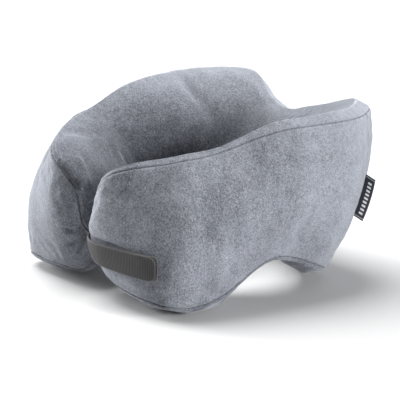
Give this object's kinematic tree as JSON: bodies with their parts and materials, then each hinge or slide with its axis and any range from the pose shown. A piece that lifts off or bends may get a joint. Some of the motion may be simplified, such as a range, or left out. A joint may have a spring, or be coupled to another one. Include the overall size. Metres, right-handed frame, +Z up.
{
  "type": "u shaped neck pillow",
  "caption": "U shaped travel neck pillow with a moulded foam core, a velour cover with a zip at the back, and a hook and loop strap that closes the arms in front.",
  "frame": {"origin": "on the floor under the middle of the pillow's box", "axes": "+Z up, +Y towards the nape, -Y towards the ends of the arms, +X towards the arm that the strap closes on"},
  "size_m": [0.2564, 0.2631, 0.1583],
  "materials": {
    "foam": "matt open foam",
    "liner": "fine knit",
    "velour": "short velour pile",
    "zip_tape": "woven tape",
    "zip_coil": "nylon coil",
    "zip_metal": "satin nickel",
    "webbing": "ribbed webbing",
    "hook_pad": "hook tape",
    "loop_patch": "fuzzy loop tape",
    "label": "woven satin label"
  },
  "bodies": {
    "nape": {"foam_nape": "foam", "liner_nape": "liner", "cover_inner_nape": "velour", "cover_base_nape": "velour", "cover_back_upper": "velour", "cover_back_lower": "velour", "zip_tape_upper": "zip_tape", "zip_tape_lower": "zip_tape", "zip_coil_upper": "zip_coil", "zip_coil_lower": "zip_coil", "zip_stops": "zip_metal", "brand_label": "label"},
    "arm_right": {"foam_arm_right": "foam", "liner_arm_right": "liner", "cover_side_right": "velour", "cover_inner_right": "velour", "cover_base_right": "velour", "strap_loop_patch": "loop_patch"},
    "arm_left": {"foam_arm_left": "foam", "liner_arm_left": "liner", "cover_side_left": "velour", "cover_inner_left": "velour", "cover_base_left": "velour", "strap_anchor": "webbing"},
    "strap": {"strap_webbing": "webbing", "strap_hook_pad": "hook_pad"},
    "slider": {"zip_slider": "zip_metal"},
    "pull": {"zip_pull": "zip_metal"}
  },
  "joints": [
    {"name": "arm_left_flex", "type": "hinge", "parent": "nape", "child": "arm_left", "pos_m": [-0.1086, 0.1061, 0.075], "axis": [0, 0, -1], "range_deg": [0, 18], "stiffness_Nm_per_rad": 3},
    {"name": "arm_right_flex", "type": "hinge", "parent": "nape", "child": "arm_right", "pos_m": [0.1086, 0.1061, 0.075], "axis": [0, 0, 1], "range_deg": [0, 18], "stiffness_Nm_per_rad": 3},
    {"name": "strap_swing", "type": "hinge", "parent": "arm_left", "child": "strap", "pos_m": [0.0002, -0.1145, 0.044], "axis": [0, 0, -1], "range_deg": [0, 81]},
    {"name": "zip_slide", "type": "slide", "parent": "nape", "child": "slider", "axis": [-1, 0, 0], "range_m": [0, 0.095]},
    {"name": "zip_pull_swing", "type": "hinge", "parent": "slider", "child": "pull", "pos_m": [0.0475, 0.1224, 0.04492], "axis": [0, -0.2781, -0.9605], "range_deg": [0, 170]}
  ],
  "couplings": [
    {"joint": "arm_right_flex", "follows": "arm_left_flex", "ratio": 1},
    {"joint": "strap_swing", "follows": "arm_left_flex", "ratio": 4.5}
  ]
}
